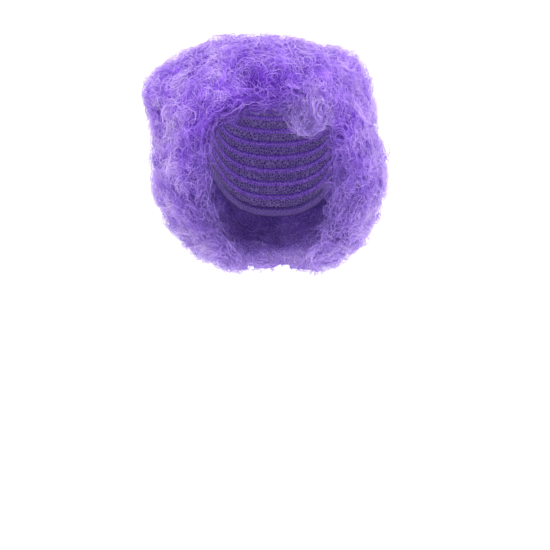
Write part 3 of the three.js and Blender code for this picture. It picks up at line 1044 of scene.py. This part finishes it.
def net_material():
    material, tree, shader = new_material("cap_net")
    place = object_place(tree)
    cells = {"Vector": place, "Scale": 1 / NET_CELL, "Randomness": 0.9}
    edge = add(tree, "ShaderNodeTexVoronoi", cells, feature="DISTANCE_TO_EDGE")
    stretch = noise(tree, place, 25 * MM, Detail=2.0)
    thread = mapped(tree, edge.outputs["Distance"], 0.05, 0.16)
    tone = combine(tree, "MULTIPLY_ADD", stretch, 0.3, combine(tree, "MULTIPLY", thread, 0.7))
    stops = [
        (0.1, (0.42, 0.3, 0.7)),
        (0.5, (0.24, 0.15, 0.48)),
        (0.9, (0.1, 0.05, 0.27)),
    ]
    feed(tree, shader.inputs["Base Color"], ramp(tree, tone, stops))
    shader.inputs["Roughness"].default_value = 0.85
    shader.inputs["Sheen Weight"].default_value = 0.3
    shader.inputs["Sheen Roughness"].default_value = 0.5
    bumped(tree, shader, thread, 0.8, 0.6 * MM).invert = True
    return material


def tape_material():
    material, tree, shader = new_material("elastic_tape")
    place = object_place(tree)
    xyz = parts(tree, place)
    turn = combine(tree, "ARCTAN2", xyz["X"], xyz["Y"])
    ribs = combine(tree, "SINE", combine(tree, "MULTIPLY", turn, float(TAPE_RIBS)))
    fuzz = noise(tree, place, 1.2 * MM, Detail=2.0)
    tone = combine(tree, "MULTIPLY_ADD", ribs, 0.2, fuzz)
    stops = [(0.25, (0.14, 0.07, 0.34)), (0.55, (0.26, 0.15, 0.56)), (0.8, (0.38, 0.25, 0.72))]
    feed(tree, shader.inputs["Base Color"], ramp(tree, tone, stops))
    shader.inputs["Roughness"].default_value = 0.7
    shader.inputs["Sheen Weight"].default_value = 0.25
    bumped(tree, shader, tone, 0.6, 0.5 * MM)
    return material


violet_tape = tape_material()
cap_shell = smooth_shell("wig_cap", "cap_shell", net_material())
band_shell = smooth_shell("edge_band", "band_shell", violet_tape)
dress(cap_shell, "wig_cap")
dress(band_shell, "edge_band")

# %% [markdown]
# ## Rows on the inside of the cap
#
# Wig hair is sewn along a thread into long wefts, and the wefts are sewn round the cap in rows.
# From outside the hair hides them, but they line the inside. Their paths can't be drawn by hand
# on a curved cap. So rays go out from the middle of the cap, and each row is the ring of points
# where they meet the inner wall, at an even share of the way from the edge to the crown.

# %% Paths on the inner wall
RING_STEPS = 120
TILT_STEP = math.radians(0.5)
TILT_STEPS = 120
cap_wall = tree_of(cap_shell)
band_wall = tree_of(band_shell)


def ray(turn, tilt):
    """A direction, by its turn from the front and its tilt from the level."""
    level = math.cos(tilt)
    return Vector((level * math.sin(turn), -level * math.cos(turn), math.sin(tilt)))


def on_wall(wall, turn, tilt):
    """Where a ray from the cap's middle first meets a wall."""
    return wall.ray_cast(CAP_MIDDLE, ray(turn, tilt))[0]


def band_tilts(turn):
    """The lowest and highest tilt at which a ray meets the bound edge."""
    steps = [TILT_STEP * i for i in range(-TILT_STEPS, TILT_STEPS + 1)]
    met = [tilt for tilt in steps if on_wall(band_wall, turn, tilt)]
    return min(met), max(met)


turns = [2 * math.pi * i / RING_STEPS for i in range(RING_STEPS)]
edges = [band_tilts(turn) for turn in turns]
print("edge from", round(math.degrees(min(low for low, high in edges))), "degrees")


def guide_ring(name, wall, tilts):
    """A ring of edges on a wall, with the ways in and across stored on its points."""
    spots = [on_wall(wall, turn, tilt) for turn, tilt in zip(turns, tilts)]
    count = len(spots)
    mesh = bpy.data.meshes.new(name)
    joined = [(i, (i + 1) % count) for i in range(count)]
    mesh.from_pydata([spot[:] for spot in spots], joined, [])
    inward = mesh.attributes.new("inward", VECTOR, "POINT").data
    across = mesh.attributes.new("across", VECTOR, "POINT").data
    for i, spot in enumerate(spots):
        along = (spots[(i + 1) % count] - spots[i - 1]).normalized()
        rise = on_wall(wall, turns[i], tilts[i] + math.radians(1)) - spot
        up = (rise - along * rise.dot(along)).normalized()
        across[i].vector = up
        away = along.cross(up).normalized()
        inward[i].vector = away if away.dot(CAP_MIDDLE - spot) > 0 else -away
    return link(name, mesh)


# %% [markdown]
# Two small trees turn such a ring into sewing. One lays a flat tape along it, the other sets
# slanted stitches on it at an even pitch.


# %% Weft and stitch trees
def tape_tree():
    """Lays a flat oval tape along a ring."""
    sizes = {"Width": "Float", "Height": "Float", "Material": "Material"}
    tree, given, result = new_tree("weft_tape", sizes)
    curve = add(tree, "GeometryNodeMeshToCurve", {0: given["Geometry"]}).outputs[0]
    values = {"Curve": curve, "Normal": kept(tree, "inward", VECTOR)}
    curve = add(tree, "GeometryNodeSetCurveNormal", values, mode="FREE").outputs[0]
    curve = keep(tree, curve, "travel", add(tree, "GeometryNodeSplineParameter").outputs["Length"])
    section = add(tree, "GeometryNodeCurvePrimitiveCircle", {"Resolution": 8, "Radius": 0.5})
    size = add(tree, "ShaderNodeCombineXYZ", {"X": given["Height"], "Y": given["Width"], "Z": 1.0})
    values = {"Geometry": section.outputs[0], "Scale": size.outputs[0]}
    section = add(tree, "GeometryNodeTransform", values).outputs[0]
    values = {"Curve": curve, "Profile Curve": section}
    solid = add(tree, "GeometryNodeCurveToMesh", values).outputs[0]
    return finish_tree(tree, given, result, solid)


def stitch_tree():
    """Sets stitches along a ring, each slanted the other way from the one before."""
    sizes = {
        "Pitch": "Float",
        "Length": "Float",
        "Thickness": "Float",
        "Slant": "Float",
        "Lift": "Float",
        "Material": "Material",
    }
    tree, given, result = new_tree("stitches", sizes)
    curve = add(tree, "GeometryNodeMeshToCurve", {0: given["Geometry"]}).outputs[0]
    values = {"Curve": curve, "Length": given["Pitch"]}
    curve = add(tree, "GeometryNodeResampleCurve", values, mode="LENGTH").outputs[0]
    inward = kept(tree, "inward", VECTOR)
    across = kept(tree, "across", VECTOR)
    along = add(tree, "GeometryNodeInputTangent").outputs[0]
    order = add(tree, "GeometryNodeInputIndex").outputs[0]
    parity = combine(tree, "FLOORED_MODULO", order, 2.0)
    sign = combine(tree, "MULTIPLY_ADD", parity, 2.0, -1.0)
    turned = combine(tree, "MULTIPLY", sign, given["Slant"])
    slanted = vector(tree, "SCALE", along, combine(tree, "COSINE", turned))
    sideways = vector(tree, "SCALE", across, combine(tree, "SINE", turned))
    slanted = vector(tree, "ADD", slanted, sideways)
    points = keep(tree, curve, "slanted", slanted, VECTOR)
    offset = vector(tree, "SCALE", inward, given["Lift"])
    points = add(tree, "GeometryNodeSetPosition", {"Geometry": points, "Offset": offset}).outputs[0]
    ways = {0: kept(tree, "inward", VECTOR), 1: kept(tree, "slanted", VECTOR)}
    axes = {"primary_axis": "Z", "secondary_axis": "X"}
    turn = add(tree, "FunctionNodeAxesToRotation", ways, **axes).outputs[0]
    thread = add(tree, "GeometryNodeMeshUVSphere", {"Segments": 5, "Rings": 3, "Radius": 0.5})
    values = {"X": given["Length"], "Y": given["Thickness"], "Z": given["Thickness"]}
    size = add(tree, "ShaderNodeCombineXYZ", values).outputs[0]
    values = {"Points": points, "Instance": thread.outputs[0], "Rotation": turn, "Scale": size}
    sewn = add(tree, "GeometryNodeInstanceOnPoints", values).outputs[0]
    return finish_tree(tree, given, result, sewn, ("inward", "across", "slanted"))


weft_tape = tape_tree()
stitches = stitch_tree()
print("sewing trees made")

# %% Wefts in the cap
WEFT_ROWS = 12
FIRST_ROW = 0.06
LAST_ROW = 0.88
WEFT_WIDTH = 6 * MM
WEFT_HEIGHT = 2.4 * MM
STITCH_PITCH = 3.2 * MM
STITCH_LENGTH = 3.4 * MM
STITCH_THICKNESS = 0.9 * MM
STITCH_SLANT = math.radians(38)
STITCH_LIFT = WEFT_HEIGHT * 0.6
WEFT_RIB = 1.1 * MM
BAND_LENGTH = 5 * MM
BAND_SLANT = math.radians(52)
BAND_LIFT = 0.4 * MM


def join(name, pieces):
    """One piece from several, in the order given."""
    shape = bmesh.new()
    for piece in pieces:
        shape.from_mesh(piece.data)
        bpy.data.objects.remove(piece)
    mesh = bpy.data.meshes.new(name)
    shape.to_mesh(mesh)
    shape.free()
    return link(name, mesh)


def weft_material():
    material, tree, shader = new_material("weft")
    place = object_place(tree)
    travel = reading(tree, "travel")
    ribs = combine(tree, "SINE", combine(tree, "MULTIPLY", travel, 2 * math.pi / WEFT_RIB))
    fuzz = noise(tree, place, 2 * MM, Detail=3.0)
    tone = combine(tree, "MULTIPLY_ADD", ribs, 0.12, fuzz)
    stops = [(0.3, VIOLET_DARK), (0.5, VIOLET), (0.75, VIOLET_LIGHT)]
    feed(tree, shader.inputs["Base Color"], ramp(tree, tone, stops))
    bumped(tree, shader, tone, 0.7, 0.6 * MM)
    hair_sheen(shader)
    return material


def thread_material():
    material, tree, shader = new_material("sewing_thread")
    place = object_place(tree)
    twist = noise(tree, place, 0.8 * MM, Detail=2.0)
    stops = [(0.3, (0.36, 0.22, 0.66)), (0.7, (0.7, 0.58, 0.93))]
    feed(tree, shader.inputs["Base Color"], ramp(tree, twist, stops))
    shader.inputs["Roughness"].default_value = 0.6
    return material


weft_violet = weft_material()
thread_violet = thread_material()


def sew(rings, name, tree, values):
    """Puts a tree on each ring, and makes one piece of them that rides on the wig."""
    made = []
    for ring in rings:
        copy = link(ring.name + "_" + name, ring.data.copy())
        apply_tree(copy, tree, values)
        made.append(settle(copy))
    piece = join(name, made)
    piece.data.materials.append(values["Material"])
    piece.data.shade_smooth()
    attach(piece, "root")
    print(name, "from", len(made), "rings")


shares = [FIRST_ROW + (LAST_ROW - FIRST_ROW) * row / (WEFT_ROWS - 1) for row in range(WEFT_ROWS)]
rows = []
for row, share in enumerate(shares):
    tilts = [high + (math.pi / 2 - high) * share for low, high in edges]
    rows.append(guide_ring("row_%02d" % row, cap_wall, tilts))
tape_sizes = {"Width": WEFT_WIDTH, "Height": WEFT_HEIGHT, "Material": weft_violet}
sew(rows, "wefts", weft_tape, tape_sizes)
stitch_sizes = {
    "Pitch": STITCH_PITCH,
    "Length": STITCH_LENGTH,
    "Thickness": STITCH_THICKNESS,
    "Slant": STITCH_SLANT,
    "Lift": STITCH_LIFT,
    "Material": thread_violet,
}
sew(rows, "weft_stitches", stitches, stitch_sizes)
middles = [(low + high) / 2 for low, high in edges]
band_ring = guide_ring("band_ring", band_wall, middles)
band_sizes = {**stitch_sizes, "Slant": BAND_SLANT, "Lift": BAND_LIFT, "Length": BAND_LENGTH}
sew([band_ring], "band_stitches", stitches, band_sizes)
for ring in (*rows, band_ring):
    bpy.data.objects.remove(ring)
